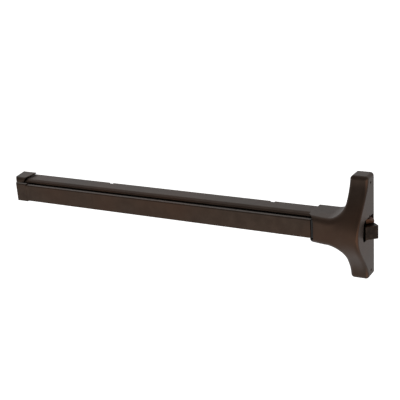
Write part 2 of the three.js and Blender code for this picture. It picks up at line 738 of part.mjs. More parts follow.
function endCap() {
  const wall = CAP_WALL;
  const backHalf = capHalf;
  const frontHalf = padHalf + CAP_FACE_MARGIN;
  const grooveHalf = RAIL_SLOT / 2;
  const span = [capOuter - THROUGH, capFaceEnd + THROUGH];
  const sleeve = (inset, back) =>
    rounded([
      [back, -backHalf + inset],
      [-capDepth + inset, -backHalf + inset, 9 - inset],
      [-capDepth + inset, backHalf - inset, 9 - inset],
      [back, backHalf - inset],
    ]).reverse();
  const face = (inset) =>
    rounded([
      [-capDepth + 4, -grooveHalf + inset],
      [-padBack, -grooveHalf + inset],
      [-padBack, -frontHalf + inset],
      [-padFront + inset, -frontHalf + inset, CAP_EDGE - inset / 2],
      [-padFront + inset, frontHalf - inset, CAP_EDGE - inset / 2],
      [-padBack, frontHalf - inset],
      [-padBack, grooveHalf - inset],
      [-capDepth + 4, grooveHalf - inset],
    ]).reverse();
  const collar = prism("yz", sleeve(0, 0), [span[0], capInner]);
  const nose = prism("yz", face(0), [span[0], capFaceEnd]);
  const plan = prism("xy", capPlan(0, span[1], padFront).reverse(), [-backHalf, backHalf]);
  const outer = collar.add(nose).intersect(plan);

  const collarRoom = prism("yz", sleeve(wall, THROUGH), [span[0], capInner + THROUGH]);
  const planRoom = capPlan(wall, span[1], padFront).reverse();
  const room = collarRoom.intersect(prism("xy", planRoom, [-backHalf, backHalf]));
  const noseRoom = block(
    [capOuter + CAP_NOSE + 2 * wall, capFaceEnd + THROUGH],
    [-padFront + wall, -capDepth + 2 * wall],
    [-grooveHalf + wall, grooveHalf - wall],
  );
  let cap = outer.subtract(room).subtract(noseRoom);
  for (const z of [-CAP_SCREW_Z, CAP_SCREW_Z]) {
    const along = [capOuter - THROUGH, capOuter + CAP_DRAFT + wall];
    cap = cap.subtract(rod("x", [-CAP_SCREW_Y, z], along, CAP_SCREW_RADIUS + GAP));
    const recess = [capOuter - THROUGH, capScrewSeat];
    cap = cap.subtract(rod("x", [-CAP_SCREW_Y, z], recess, SCREW_HEAD_RADIUS + GAP));
  }
  return piece("end_cap", cap, "bronze");
}

const footOuter = capOuter + CAP_WALL + 2;

// The bracket that holds the far end: a foot on the door, an upright and a tongue in the rail.
function endBracket() {
  const tall = railHalf - RAIL_WALL;
  const upright = footOuter + FOOT_LENGTH;
  const railSeat = RAIL_WALL + GAP;
  let body = block([footOuter, upright], [-PLATE, 0], [-tall, tall]);
  body = body.add(block([upright - PLATE, upright], [-UPRIGHT_DEPTH, 0], [-tall, tall]));
  const tongue = [upright - 1, railEnd + TONGUE_LENGTH];
  body = body.add(block(tongue, [-railSeat - PLATE, -railSeat], [-tongueHalf, tongueHalf]));
  for (const side of [-1, 1]) {
    const hole = [footOuter + FOOT_LENGTH / 2 - 1, side * (tall - 6)];
    body = body.subtract(rod("y", hole, [-PLATE - THROUGH, THROUGH], 2.2));
    const cut = [upright - PLATE - THROUGH, upright + THROUGH];
    const capScrew = rod("x", [-CAP_SCREW_Y, side * CAP_SCREW_Z], cut, CAP_SCREW_RADIUS + GAP);
    body = body.subtract(capScrew);
    const screw = [railEnd + TONGUE_LENGTH / 2, side * tongueScrewZ];
    const depths = [-railSeat - PLATE - THROUGH, -railSeat + THROUGH];
    body = body.subtract(rod("y", screw, depths, SCREW_RADIUS + GAP));
  }
  return piece("end_bracket", body, "steel");
}

// A headed screw along X through the cap's outer end into the bracket's upright.
function capScrew(name, z) {
  const seat = capScrewSeat - GAP;
  const head = rod("x", [-CAP_SCREW_Y, z], [seat - SCREW_HEAD, seat], SCREW_HEAD_RADIUS);
  const tip = footOuter + FOOT_LENGTH + 2;
  const shank = rod("x", [-CAP_SCREW_Y, z], [seat - 1, tip], CAP_SCREW_RADIUS);
  return piece(name, head.add(shank), "steel");
}

// ---------------------------------------------------------------- linkage

// Bracket of one bell crank, on the rail's back web, with two ears and a tab in the rail's notch.
function crankBracket(name) {
  const seat = RAIL_WALL + GAP;
  const tall = railHalf - RAIL_WALL - GAP;
  const earHalf = EAR_GAP / 2;
  let body = block([-BRACKET_HALF, BRACKET_HALF], [-seat - 2, -seat], [-tall, tall]);
  const tab = [-RAIL_NOTCH_WIDTH / 2 + GAP, RAIL_NOTCH_WIDTH / 2 - GAP];
  body = body.add(block(tab, [-seat - 2, -seat], [tall - 1, railHalf - 0.5]));
  const outline = rounded([
    [-9, -seat - 1],
    [-6.5, -CRANK_PIVOT_Y - 6, 5],
    [6.5, -CRANK_PIVOT_Y - 6, 5],
    [9, -seat - 1],
  ]);
  for (const z of [-earHalf - EAR_THICKNESS, earHalf]) {
    body = body.add(prism("xy", outline, [z, z + EAR_THICKNESS]));
  }
  const pivot = [0, -CRANK_PIVOT_Y];
  body = body.subtract(rod("z", pivot, [-LONG, LONG], CRANK_PIN_RADIUS + GAP));
  for (const z of [-BRACKET_SCREW_Z, BRACKET_SCREW_Z]) {
    body = body.subtract(rod("y", [0, z], [-seat - 4, -seat + THROUGH], SCREW_RADIUS + GAP));
  }
  return piece(name, body, "steel");
}

// Where the crank's two arms end at rest, from its pivot.
const inputX = -CRANK_INPUT * Math.cos(crankSwing / 2);
const inputY = -CRANK_INPUT * Math.sin(crankSwing / 2);
const outputX = CRANK_OUTPUT * Math.sin(crankSwing / 2);
const outputY = -CRANK_OUTPUT * Math.cos(crankSwing / 2);
const crankLow = BAR_THICKNESS / 2 + GAP;
const springZ = -BAR_THICKNESS / 2 - SPRING_RADIUS - 1.6; // below the drive bar

// A straight link with round ends between two points, in XY.
function link([ax, ay], [bx, by], width, [z0, z1]) {
  const r = width / 2;
  const along = Math.atan2(by - ay, bx - ax);
  const shape = new THREE.Shape();
  shape.absarc(ax, ay, r, along + Math.PI / 2, along + (3 * Math.PI) / 2, false);
  shape.absarc(bx, by, r, along - Math.PI / 2, along + Math.PI / 2, false);
  return prism("xy", shape.getPoints(9).slice(0, -1), [z0, z1]);
}

function bellCrank(name) {
  const levels = [crankLow, crankLow + CRANK_THICKNESS];
  const pivot = [0, -CRANK_PIVOT_Y];
  const input = [inputX, -CRANK_PIVOT_Y + inputY];
  const output = [outputX, -CRANK_PIVOT_Y + outputY];
  let body = link(input, pivot, CRANK_ARM_WIDTH, levels);
  body = body.add(link(pivot, output, CRANK_ARM_WIDTH, levels));
  const hubTop = EAR_GAP / 2 - GAP;
  body = body.add(rod("z", pivot, [crankLow, hubTop], CRANK_PIN_RADIUS + 2.5));
  body = body.add(rod("z", pivot, [-hubTop, crankLow + 1], CRANK_PIN_RADIUS + 2.5));
  body = body.subtract(rod("z", pivot, [-LONG, LONG], CRANK_PIN_RADIUS + GAP));
  body = body.subtract(rod("z", output, [-LONG, LONG], LINK_PIN_RADIUS + GAP));
  return piece(name, body, "steel");
}

function crankPin(name) {
  const top = EAR_GAP / 2 + EAR_THICKNESS + GAP;
  const pivot = [0, -CRANK_PIVOT_Y];
  const shank = rod("z", pivot, [-top - 1, top + 0.5], CRANK_PIN_RADIUS);
  const head = rod("z", pivot, [top, top + 1.2], CRANK_PIN_RADIUS + 1.3);
  return piece(name, shank.add(head), "steel");
}

// The rivet that joins a crank's output arm to the drive bar.
function linkPin(name) {
  const output = [outputX, -CRANK_PIVOT_Y + outputY];
  const top = crankLow + CRANK_THICKNESS + GAP;
  const bottom = -BAR_THICKNESS / 2 - GAP;
  const shank = rod("z", output, [bottom - 1, top + 1], LINK_PIN_RADIUS);
  const head = rod("z", output, [top, top + 1.4], LINK_PIN_RADIUS + 1.4);
  const foot = rod("z", output, [bottom - 1.4, bottom], LINK_PIN_RADIUS + 1.4);
  return piece(name, shank.add(head).add(foot), "steel");
}

function driveBar() {
  const far = stations.far - 14;
  const levels = [-BAR_THICKNESS / 2, BAR_THICKNESS / 2];
  const low = barY - BAR_WIDTH / 2;
  const high = barY + BAR_WIDTH / 2;
  const bar = rounded([
    [far, low, 4],
    [barNear, low, 3],
    [barNear, barEdge, 1.5],
    [-half, barEdge, 2],
    [-half - 4, high, 2],
    [far, high, 4],
  ]);
  let body = prism("xy", bar, levels);
  const sag = CRANK_OUTPUT * (1 - Math.cos(crankSwing / 2)) + GAP;
  for (const x of Object.values(stations)) {
    const hole = [x + outputX, barY];
    body = body.subtract(rod("z", hole, [-LONG, LONG], LINK_PIN_RADIUS + sag + GAP));
  }
  const play = LINK_PIN_RADIUS + GAP;
  const slotReach = tailRadius * (1 - Math.cos(swing / 2)) + GAP;
  body = body.subtract(
    link([tailX, tailY - slotReach], [tailX, tailY + GAP], 2 * play, [-LONG, LONG]),
  );
  return piece("drive_bar", body, "steel");
}

// The foot on the pad carrier that pushes a crank's input arm, and seats a return spring.
function padBracket(name) {
  const front = -padFront + 2 * PAD_WALL + 2 * GAP;
  const push = -CRANK_PIVOT_Y + inputY - CRANK_ARM_WIDTH / 2 - GAP;
  const high = carrierHalf - PAD_WALL - GAP;
  const springSeat = -railFlat - 4;
  const left = inputX - 6;
  const right = SPRING_OFFSET + 9;
  let body = block([left, right], [front, front + 2], [-high, high]);
  const finger = [crankLow, high];
  body = body.add(block([left, inputX], [front + 1, push], finger));
  const boss = [SPRING_OFFSET, springZ];
  body = body.add(rod("y", boss, [front + 1, springSeat], SPRING_RADIUS + 0.8));
  body = body.add(rod("y", boss, [front + 1, springSeat + PAD_TRAVEL], SPRING_POST_RADIUS));
  return piece(name, body, "black");
}

// A compression spring between the rail's web and the pad bracket, beside the drive bar's path.
function returnSpring(name) {
  const from = -RAIL_WALL - GAP;
  const to = -railFlat - 4 + GAP;
  const body = solid(coil(SPRING_RADIUS, SPRING_WIRE / 2, SPRING_TURNS, Math.abs(to - from)));
  const mesh = piece(name, body, "spring");
  mesh.rotation.x = Math.PI / 2;
  mesh.position.set(SPRING_OFFSET, from, springZ);
  return mesh;
}

// ---------------------------------------------------------------- assembly

const bar = new THREE.Group();
bar.name = "panic_exit_bar";

const latchCase = new THREE.Group();
latchCase.add(caseCover(), chassis());
latchCase.add(coverScrew("cover_screw_upper", coverScrewZ));
latchCase.add(coverScrew("cover_screw_lower", -coverScrewZ));
latchCase.add(latchBolt(), deadlatch(), latchPin(), latchPinRing(), tailPin());
latchCase.add(pivotSpring("latch_spring", -BOLT_BOTTOM + GAP, LATCH_SPRING_ROOM - 3 * GAP));
const deadlatchCoil = DEADLATCH_TOP - DEADLATCH_SPRING_ROOM + GAP;
latchCase.add(pivotSpring("deadlatch_spring", deadlatchCoil, DEADLATCH_SPRING_ROOM - 2 * GAP));
bar.add(latchCase);

const track = new THREE.Group();
track.add(rail(), endCap(), endBracket());
track.add(capScrew("cap_screw_upper", CAP_SCREW_Z), capScrew("cap_screw_lower", -CAP_SCREW_Z));
const screwSeat = -RAIL_WALL - 2 * GAP - PLATE;
const ends = { latch: railStart - TONGUE_LENGTH / 2, far: railEnd + TONGUE_LENGTH / 2 };
for (const [end, x] of Object.entries(ends)) {
  const z = tongueScrewZ;
  track.add(panScrew(`rail_screw_${end}_upper`, x, z, screwSeat, -GAP));
  track.add(panScrew(`rail_screw_${end}_lower`, x, -z, screwSeat, -GAP));
}
bar.add(track);

const pad = new THREE.Group();
pad.add(pushPad(), padCarrier());
pad.add(padPlug("pad_plug_latch", padStart - PLUG_THICKNESS, padStart, PLUG_LIP));
pad.add(padPlug("pad_plug_far", padEnd, padEnd + PLUG_THICKNESS));
bar.add(pad);

bar.add(driveBar());
for (const [end, x] of Object.entries(stations)) {
  const station = new THREE.Group();
  station.position.x = x;
  station.add(crankBracket(`crank_bracket_${end}`), bellCrank(`bell_crank_${end}`));
  station.add(crankPin(`crank_pin_${end}`), linkPin(`link_pin_${end}`));
  station.add(padBracket(`pad_bracket_${end}`), returnSpring(`return_spring_${end}`));
  const seat = -RAIL_WALL - 2 * GAP - 2;
  station.add(panScrew(`bracket_screw_${end}_upper`, 0, BRACKET_SCREW_Z, seat, -GAP));
  station.add(panScrew(`bracket_screw_${end}_lower`, 0, -BRACKET_SCREW_Z, seat, -GAP));
  bar.add(station);
}

export default bar;
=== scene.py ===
# %% [markdown]
# # Panic exit bar in oil-rubbed bronze
# A panic exit bar is screwed to the inside of an exit door. A person leans on the long push pad,
# the pad slides back into its rail, and bell cranks pull a drive bar that swings the latch in.
# The working model comes packed, with every piece in its place. Here each piece that shows gets
# its fine shape, and each finish its own material.

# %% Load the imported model
import json
import math

import bmesh
import bpy
from mathutils import Matrix, Vector


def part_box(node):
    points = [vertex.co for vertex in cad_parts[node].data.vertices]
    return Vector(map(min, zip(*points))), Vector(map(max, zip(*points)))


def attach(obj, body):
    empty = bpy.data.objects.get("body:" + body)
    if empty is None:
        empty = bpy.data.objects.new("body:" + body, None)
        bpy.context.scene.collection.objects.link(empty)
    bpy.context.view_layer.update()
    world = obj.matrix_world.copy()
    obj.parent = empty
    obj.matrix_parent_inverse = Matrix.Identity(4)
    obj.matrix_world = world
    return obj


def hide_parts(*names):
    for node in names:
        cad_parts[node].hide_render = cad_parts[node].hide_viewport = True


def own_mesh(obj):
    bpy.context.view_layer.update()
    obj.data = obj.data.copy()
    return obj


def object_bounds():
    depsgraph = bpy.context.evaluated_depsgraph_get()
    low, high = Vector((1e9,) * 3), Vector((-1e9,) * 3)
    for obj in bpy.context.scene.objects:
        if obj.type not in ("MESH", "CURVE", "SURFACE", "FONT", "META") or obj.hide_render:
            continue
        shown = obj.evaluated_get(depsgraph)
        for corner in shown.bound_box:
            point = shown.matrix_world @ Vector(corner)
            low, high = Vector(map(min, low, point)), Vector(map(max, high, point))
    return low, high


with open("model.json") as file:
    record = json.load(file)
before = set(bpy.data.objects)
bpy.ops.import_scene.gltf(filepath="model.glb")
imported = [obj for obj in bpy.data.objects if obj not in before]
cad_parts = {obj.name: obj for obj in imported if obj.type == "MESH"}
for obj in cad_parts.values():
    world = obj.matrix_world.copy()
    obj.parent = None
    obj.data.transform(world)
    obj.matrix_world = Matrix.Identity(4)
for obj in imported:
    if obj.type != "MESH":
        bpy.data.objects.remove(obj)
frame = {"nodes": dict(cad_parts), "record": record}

mm = 0.001
cad_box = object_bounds()
print("the packed model spans", [round(1000 * (b - a)) for a, b in zip(*cad_box)], "mm")

# %% [markdown]
# ## Camera
# The bar is looked at from the front, from its latch end and from a little above, with a long
# lens and the camera tipped slightly. The camera's matrix is built from its right, up and back
# directions, so that the roll is a plain turn of two of them.

# %% Camera
VIEW_TURN = math.radians(30.56)
VIEW_RISE = math.radians(18.85)
VIEW_ROLL = math.radians(-4.08)
VIEW_DISTANCE = 1.8058
VIEW_LENS = 78.11
AIM = Vector((-356.75, 0, 6.52)) * mm

back = Vector(
    (
        math.sin(VIEW_TURN) * math.cos(VIEW_RISE),
        -math.cos(VIEW_TURN) * math.cos(VIEW_RISE),
        math.sin(VIEW_RISE),
    )
)
level = Vector((0, 0, 1)).cross(back).normalized()
upright = back.cross(level)
right = math.cos(VIEW_ROLL) * level + math.sin(VIEW_ROLL) * upright
up = math.cos(VIEW_ROLL) * upright - math.sin(VIEW_ROLL) * level

lens = bpy.data.cameras.new("camera")
lens.lens = VIEW_LENS
lens.sensor_width = 36
camera = bpy.data.objects.new("camera", lens)
pose = Matrix((right, up, back)).transposed().to_4x4()
pose.translation = AIM + VIEW_DISTANCE * back
camera.matrix_world = pose
bpy.context.scene.collection.objects.link(camera)
bpy.context.scene.camera = camera
print("camera at", [round(c, 3) for c in pose.translation])

# %% [markdown]
# ## Helpers for materials
# A material is a small tree of nodes. One function adds a node, sets its options and fills its
# sockets, with a plain value or with another node's output. Colours are written as the sRGB hex
# values that a paint chart would give, and turned to linear light once.


# %% Material helpers
def srgb(text):
    """A #rrggbb colour as linear red, green, blue and alpha."""
    parts = [int(text[i : i + 2], 16) / 255 for i in (1, 3, 5)]
    return [c / 12.92 if c <= 0.04045 else ((c + 0.055) / 1.055) ** 2.4 for c in parts] + [1]


def add_node(tree, kind, sockets=(), **settings):
    """Adds a node. Sockets are filled by name or number, with a value or another node's output."""
    node = tree.nodes.new(kind)
    for setting, value in settings.items():
        setattr(node, setting, value)
    for socket, value in dict(sockets).items():
        if isinstance(value, bpy.types.NodeSocket):
            tree.links.new(value, node.inputs[socket])
        else:
            node.inputs[socket].default_value = value
    return node


def blend_colours(tree, share, low, high):
    """The colour low where share is 0 and high where it is 1."""
    sockets = {0: share, 6: low, 7: high}
    return add_node(tree, "ShaderNodeMix", sockets, data_type="RGBA").outputs[2]


def remap(tree, value, from_low, from_high, to_low, to_high):
    """The value, with one range stretched to another and clamped to it."""
    sockets = {"Value": value, 1: from_low, 2: from_high, 3: to_low, 4: to_high}
    return add_node(tree, "ShaderNodeMapRange", sockets).outputs[0]


def cloud(tree, size, longer=(1, 1, 1), detail=3.0):
    """Noise whose blotches are about size metres across, longer along some axes."""
    place = add_node(tree, "ShaderNodeTexCoord").outputs["Object"]
    scale = [1 / (size * s) for s in longer]
    spread = add_node(tree, "ShaderNodeMapping", {"Vector": place, "Scale": scale}).outputs[0]
    sockets = {"Vector": spread, "Scale": 1.0, "Detail": detail, "Roughness": 0.55}
    return add_node(tree, "ShaderNodeTexNoise", sockets).outputs["Fac"]


def edge_mask(tree, radius):
    """1 on an edge sharper than radius, 0 on a flat."""
    soft = add_node(tree, "ShaderNodeBevel", {"Radius": radius}, samples=6).outputs[0]
    true = add_node(tree, "ShaderNodeNewGeometry").outputs["Normal"]
    sockets = {0: soft, 1: true}
    dot = add_node(tree, "ShaderNodeVectorMath", sockets, operation="DOT_PRODUCT").outputs["Value"]
    return remap(tree, dot, 0.995, 0.9, 0, 1)


def finish_material(name, sockets, height=None, depth=0.00002):
    """A material with one Principled shader. Height, if given, is turned to a bump."""
    material = bpy.data.materials[name]
    tree = material.node_tree
    shader = tree.nodes["Principled BSDF"]
    if height is not None:
        bump = add_node(tree, "ShaderNodeBump", {"Height": height, "Distance": depth})
        tree.links.new(bump.outputs[0], shader.inputs["Normal"])
    for socket, value in sockets.items():
        if isinstance(value, bpy.types.NodeSocket):
            tree.links.new(value, shader.inputs[socket])
        else:
            shader.inputs[socket].default_value = value
    print("material", name, "with", len(tree.nodes), "nodes")
    return material


def new_tree(name):
    material = bpy.data.materials.new(name)
    material.use_nodes = True
    return material.node_tree


# %% [markdown]
# ## Oil-rubbed bronze
# The covers are bronze plate, brushed along the bar, darkened in a bath and rubbed with oil. The
# dark patina is a thin layer over live metal, so it still reflects as a metal does: a dim brown
# face on, a pale grey at a glancing angle. The patina takes unevenly, so the brown drifts towards
# copper over a hand's width or two. Hands and cloths rub it thin on the edges. The case also has a
# painted highlight: where its front edge beside the latch turns to the front right, copper is
# painted into the colour for the sheen of a light there. The brushing is finer than a camera sees
# from here, so it is drawn 0.5 mm wide.

# %% Oil-rubbed bronze
PATINA = "#493d35"
PATINA_DARK = "#41362f"
PATINA_WARM = "#4d392e"
# Copper for the rubbed edges, and for the painted highlight on the case's front-right edge.
COPPER_WEAR_AND_HIGHLIGHT = "#7f5a45"
# Faces turned towards this direction get the painted copper highlight.
HIGHLIGHT_SIDE = (0.71, -0.71, 0)


def multiplied(tree, first, second):
    return add_node(tree, "ShaderNodeMath", {0: first, 1: second}, operation="MULTIPLY").outputs[0]


def oil_rubbed_bronze(name, painted_highlight=0.0):
    tree = new_tree(name)
    brushing = cloud(tree, 0.5 * mm, (60, 1, 1), 2.0)
    mottle = cloud(tree, 22 * mm)
    drift = cloud(tree, 160 * mm, detail=1.0)
    mottled = remap(tree, mottle, 0.35, 0.65, 0, 1)
    colour = blend_colours(tree, mottled, srgb(PATINA_DARK), srgb(PATINA))
    colour = blend_colours(tree, remap(tree, drift, 0.42, 0.62, 0, 0.6), colour, srgb(PATINA_WARM))
    streaks = remap(tree, brushing, 0.3, 0.7, 0, 1)
    worn = remap(tree, multiplied(tree, edge_mask(tree, 1.2 * mm), mottle), 0.25, 0.6, 0, 0.5)
    colour = blend_colours(tree, worn, colour, srgb(COPPER_WEAR_AND_HIGHLIGHT))
    # Painted highlight: faces turned to the front right are blended towards copper, painting in the
    # sheen of a light on the case's front-right edge.
    if painted_highlight:
        normal = add_node(tree, "ShaderNodeNewGeometry").outputs["Normal"]
        sockets = {0: normal, 1: HIGHLIGHT_SIDE}
        facing = add_node(tree, "ShaderNodeVectorMath", sockets, operation="DOT_PRODUCT")
        share = remap(tree, facing.outputs["Value"], 0.9, 1.0, 0, painted_highlight)
        colour = blend_colours(tree, share, colour, srgb(COPPER_WEAR_AND_HIGHLIGHT))
    rough = remap(tree, streaks, 0, 1, 0.33, 0.43)
    sockets = {"Base Color": colour, "Metallic": 1.0, "Roughness": rough}
    return finish_material(name, sockets, brushing, 0.03 * mm)


bronze = oil_rubbed_bronze("oil_rubbed_bronze")
# The case's bronze carries a painted copper highlight along its front-right edge.
case_bronze = oil_rubbed_bronze("oil_rubbed_bronze_case", painted_highlight=0.4)

# %% [markdown]
# ## Other finishes
# The latch is sintered steel, ground along its length and blackened to match the covers, so its
# grain is coarser and its copper shows on the nose. The deadlatch is bare cast bronze, worn bright.
# Inside, the stamped parts are steel with a thin zinc plate, which has a cool, cloudy grey, and
# the sliding parts are moulded in black glass-filled nylon, which is dull and slightly pebbled.

# %% Latch and deadlatch
def worn_metal(name, dark, light, bright, rough, rub, grain_axis):
    tree = new_tree(name)
    grain = tuple(40 if axis == grain_axis else 1 for axis in "XYZ")
    grinding = cloud(tree, 0.6 * mm, grain, 2.0)
    stain = cloud(tree, 9 * mm)
    colour = blend_colours(tree, remap(tree, stain, 0.35, 0.65, 0, 1), srgb(dark), srgb(light))
    wear = add_node(
        tree, "ShaderNodeMath", {0: edge_mask(tree, 1.0 * mm), 1: stain}, operation="MULTIPLY"
    )
    worn = remap(tree, wear.outputs[0], 0.2, 0.5, 0, rub)
    colour = blend_colours(tree, worn, colour, srgb(bright))
    gloss = remap(tree, grinding, 0.3, 0.7, rough - 0.06, rough + 0.08)
    sockets = {"Base Color": colour, "Metallic": 1.0, "Roughness": gloss}
    return finish_material(name, sockets, grinding, 0.05 * mm)


latch_metal = worn_metal("blackened_latch_steel", "#2b2420", "#3a302a", "#8a6248", 0.34, 0.6, "X")
deadlatch_metal = worn_metal("worn_cast_bronze", "#4a3226", "#6b4a38", "#9a7258", 0.38, 0.6, "X")
black_oxide = worn_metal("black_oxide_screw", "#141211", "#1e1b19", "#4a4440", 0.45, 0.4, "X")

# %% Zinc, spring wire and nylon
def zinc_plate():
    tree = new_tree("zinc_plate")
    cloudy = cloud(tree, 3 * mm, detail=5.0)
    share = remap(tree, cloudy, 0.3, 0.7, 0, 1)
    colour = blend_colours(tree, share, srgb("#8f9294"), srgb("#a9acae"))
    gloss = remap(tree, cloudy, 0.3, 0.7, 0.3, 0.46)
    sockets = {"Base Color": colour, "Metallic": 1.0, "Roughness": gloss}
    return finish_material("zinc_plate", sockets, cloudy, 0.02 * mm)


def drawn_wire():
    tree = new_tree("drawn_spring_wire")
    oil = cloud(tree, 1.5 * mm)
    colour = blend_colours(tree, oil, srgb("#7f8285"), srgb("#a0a3a6"))
    gloss = remap(tree, oil, 0.3, 0.7, 0.22, 0.34)
    sockets = {"Base Color": colour, "Metallic": 1.0, "Roughness": gloss}
    return finish_material("drawn_spring_wire", sockets)


def moulded_nylon():
    tree = new_tree("black_glass_filled_nylon")
    pebble = cloud(tree, 0.8 * mm, detail=4.0)
    flow = cloud(tree, 18 * mm, (3, 1, 1))
    colour = blend_colours(tree, flow, srgb("#141312"), srgb("#1e1c1b"))
    gloss = remap(tree, pebble, 0.3, 0.7, 0.48, 0.62)
    sockets = {"Base Color": colour, "Roughness": gloss}
    return finish_material("black_glass_filled_nylon", sockets, pebble, 0.06 * mm)


zinc = zinc_plate()
spring_wire = drawn_wire()
black_nylon = moulded_nylon()

# %% [markdown]
# ## Helpers for shapes
# A part cut from plate or extruded is an outline pulled along a line. The outline is drawn in its
# own plane as corners with a radius each, and a vertex bevel rounds them: the bevel's reach along
# each side is the radius over the tangent of half the corner's angle, which gives a true arc.
# Bodies come from the imported record, so a piece names only what it replaces.

# %% Record look-ups
behaviour = frame["record"]["behaviour"]
BODY_OF = {node: body for body, nodes in behaviour["bodies"].items() for node in nodes}


def span(node, axis):
    """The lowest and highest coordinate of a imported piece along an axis, in millimetres."""
    low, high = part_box(node)
    return low["XYZ".index(axis)] / mm, high["XYZ".index(axis)] / mm


def middle(node, axis):
    return sum(span(node, axis)) / 2


# %% Outlines
TURN = {
    "X": Matrix(((0, 0, 1, 0), (1, 0, 0, 0), (0, 1, 0, 0), (0, 0, 0, 1))),
    "Y": Matrix(((1, 0, 0, 0), (0, 0, 1, 0), (0, 1, 0, 0), (0, 0, 0, 1))),
    "Z": Matrix.Identity(4),
}


def outline_face(corners, segments=8):
    """A flat face in the local XY plane through corners (a, b, radius), in millimetres."""
    shape = bmesh.new()
    verts = [shape.verts.new((corner[0] * mm, corner[1] * mm, 0)) for corner in corners]
    shape.faces.new(verts)
    for vert, corner in zip(verts, corners):
        if len(corner) < 3:
            continue
        sides = [edge.other_vert(vert).co - vert.co for edge in vert.link_edges]
        reach = corner[2] * mm / math.tan(sides[0].angle(sides[1]) / 2)
        bmesh.ops.bevel(
            shape,
            geom=[vert],
            offset=reach,
            offset_type="OFFSET",
            affect="VERTICES",
            segments=segments,
            profile=0.5,
            material=-1,
        )
    return shape


def mirrored(half):
    """An outline's upper half, given from back to front, with its mirror image below."""
    return [(a, -b, *r) for a, b, *r in half] + half[::-1]


def chosen(shape, kind, test):
    """The faces or edges of a shape whose vertices all pass a test on their millimetres."""
    return [part for part in getattr(shape, kind) if all(test(v.co / mm) for v in part.verts)]


def sleeve(corners, axis, start, end, open_side=None):
    """An outline's sides pulled along an axis into an open tube, without the side to leave open."""
    shape = outline_face(corners)
    bmesh.ops.delete(shape, geom=shape.faces[:], context="FACES_ONLY")
    if open_side:
        bmesh.ops.delete(shape, geom=chosen(shape, "edges", open_side), context="EDGES")
    bmesh.ops.translate(shape, verts=shape.verts, vec=(0, 0, start * mm))
    pulled = bmesh.ops.extrude_edge_only(shape, edges=shape.edges[:])["geom"]
    ends = [part for part in pulled if isinstance(part, bmesh.types.BMVert)]
    bmesh.ops.translate(shape, verts=ends, vec=(0, 0, (end - start) * mm))
    bmesh.ops.transform(shape, matrix=TURN[axis], verts=shape.verts)
    return shape


def slice_at(shape, point, normal, clear=False):
    """Cuts a shape by a plane, and clears away what lies on its far side if asked."""
    cut = bmesh.ops.bisect_plane(
        shape,
        geom=shape.verts[:] + shape.edges[:] + shape.faces[:],
        dist=1e-7,
        plane_co=Vector(point) * mm,
        plane_no=normal,
        clear_outer=clear,
    )
    return [part for part in cut["geom_cut"] if isinstance(part, bmesh.types.BMEdge)]


def open_window(shape, low, high):
    """Cuts the box from low to high out of a sheet."""
    for corner in (low, high):
        for axis in range(3):
            normal = [float(axis == k) for k in range(3)]
            slice_at(shape, corner, normal)
    inside = [
        face
        for face in shape.faces
        if all(a < c / mm < b for a, b, c in zip(low, high, face.calc_center_median()))
    ]
    bmesh.ops.delete(shape, geom=inside, context="FACES")


def spot_of(part):
    """Where a vertex, edge or face lies, as something to sort by."""
    verts = getattr(part, "verts", [part])
    return sorted(tuple(round(c / mm, 3) for c in vert.co) for vert in verts)


def in_order(shape):
    """Merges doubled points and sorts a shape's parts by place, so that every run goes alike."""
    bmesh.ops.remove_doubles(shape, verts=shape.verts, dist=0.002 * mm)
    for parts in (shape.verts, shape.edges, shape.faces):
        for rank, part in enumerate(sorted(parts, key=spot_of)):
            part.index = rank
        parts.sort()


def pierce(shape, wall, openings):
    """Takes out a flat wall's faces and fills it again round openings, each a placed face."""
    normal = wall[0].normal.copy()
    taken = set(wall)
    rim = [edge for edge in shape.edges if len(taken.intersection(edge.link_faces)) == 1]
    bmesh.ops.delete(shape, geom=wall, context="FACES_KEEP_BOUNDARY")
    for opening in openings:
        before = set(shape.edges)
        bmesh.ops.delete(opening, geom=opening.faces[:], context="FACES_ONLY")
        loop = bpy.data.meshes.new("opening")
        opening.to_mesh(loop)
        shape.from_mesh(loop)
        bpy.data.meshes.remove(loop)
        rim += [edge for edge in shape.edges if edge not in before]
    rim.sort(key=spot_of)
    filled = bmesh.ops.triangle_fill(shape, edges=rim, normal=normal)["geom"]
    new = {part for part in filled if isinstance(part, bmesh.types.BMFace)}
    inner = [edge for edge in shape.edges if len(new.intersection(edge.link_faces)) == 2]
    inner.sort(key=spot_of)
    bmesh.ops.dissolve_limit(shape, angle_limit=math.radians(0.5), verts=[], edges=inner)
    in_order(shape)


def round_hole(centre, axis, radius, segments=24):
    """A round opening for pierce(), centred at millimetres, in the plane across an axis."""
    hole = bmesh.new()
    bmesh.ops.create_circle(hole, cap_ends=True, segments=segments, radius=radius * mm)
    place = Matrix.Translation(Vector(centre) * mm) @ TURN[axis]
    bmesh.ops.transform(hole, matrix=place, verts=hole.verts)
    return hole


# %% Finishing a piece
SHARP = math.radians(38)


def walled(shape, wall):
    """A sheet given its wall, inwards."""
    mesh = bpy.data.meshes.new("sheet")
    shape.to_mesh(mesh)
    sheet = bpy.data.objects.new("sheet", mesh)
    bpy.context.scene.collection.objects.link(sheet)
    solid = sheet.modifiers.new("wall", "SOLIDIFY")
    solid.thickness = wall * mm
    solid.offset = -1
    solid.use_even_offset = True
    solid.thickness_clamp = 0
    bpy.context.view_layer.update()
    graph = bpy.context.evaluated_depsgraph_get()
    shape.clear()
    shape.from_mesh(sheet.evaluated_get(graph).data)
    bpy.data.objects.remove(sheet)


